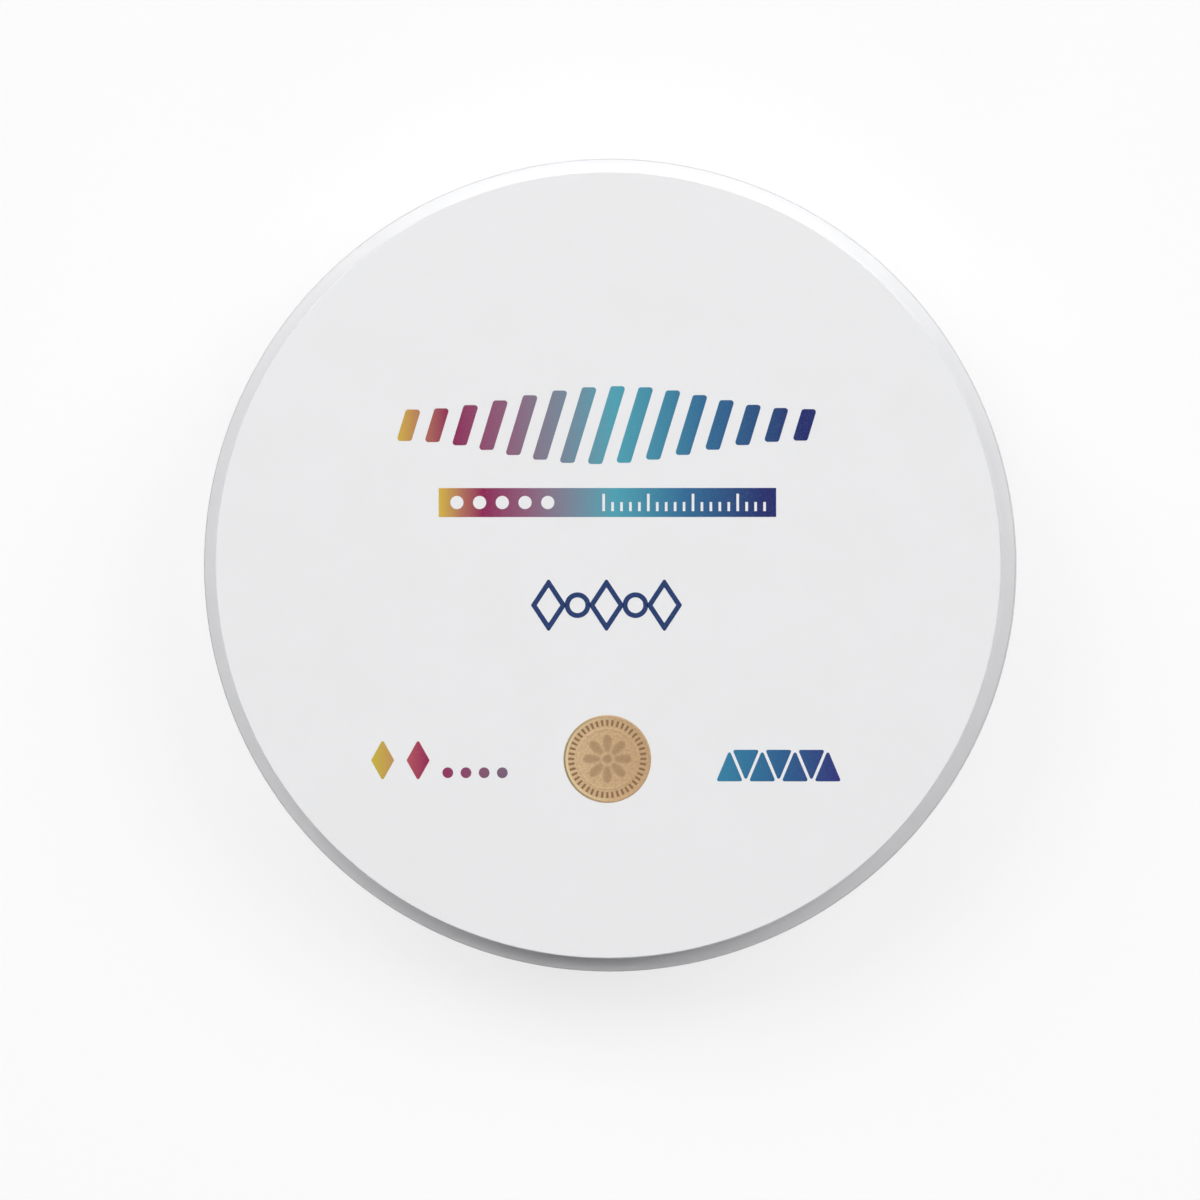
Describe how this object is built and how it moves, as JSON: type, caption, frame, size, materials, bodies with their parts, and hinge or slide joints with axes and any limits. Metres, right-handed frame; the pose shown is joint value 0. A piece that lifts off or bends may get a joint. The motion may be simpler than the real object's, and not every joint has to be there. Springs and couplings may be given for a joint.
{
  "type": "dental milling disc",
  "caption": "Round white zirconia blank with a raised face above and below a holding flange, milled into dental crowns and bridges.",
  "frame": {"origin": "centre of the lower face, on which the disc lies", "axes": "+Z along the disc's axis, out of the printed face; +Y towards the top of the print"},
  "size_m": [0.0984, 0.0984, 0.018],
  "materials": {
    "zirconia": "matte",
    "print_ink": "matte",
    "white_ink": "matte",
    "gold_print": "satin"
  },
  "bodies": {
    "root": {"zirconia_disc": "zirconia"}
  },
  "joints": []
}
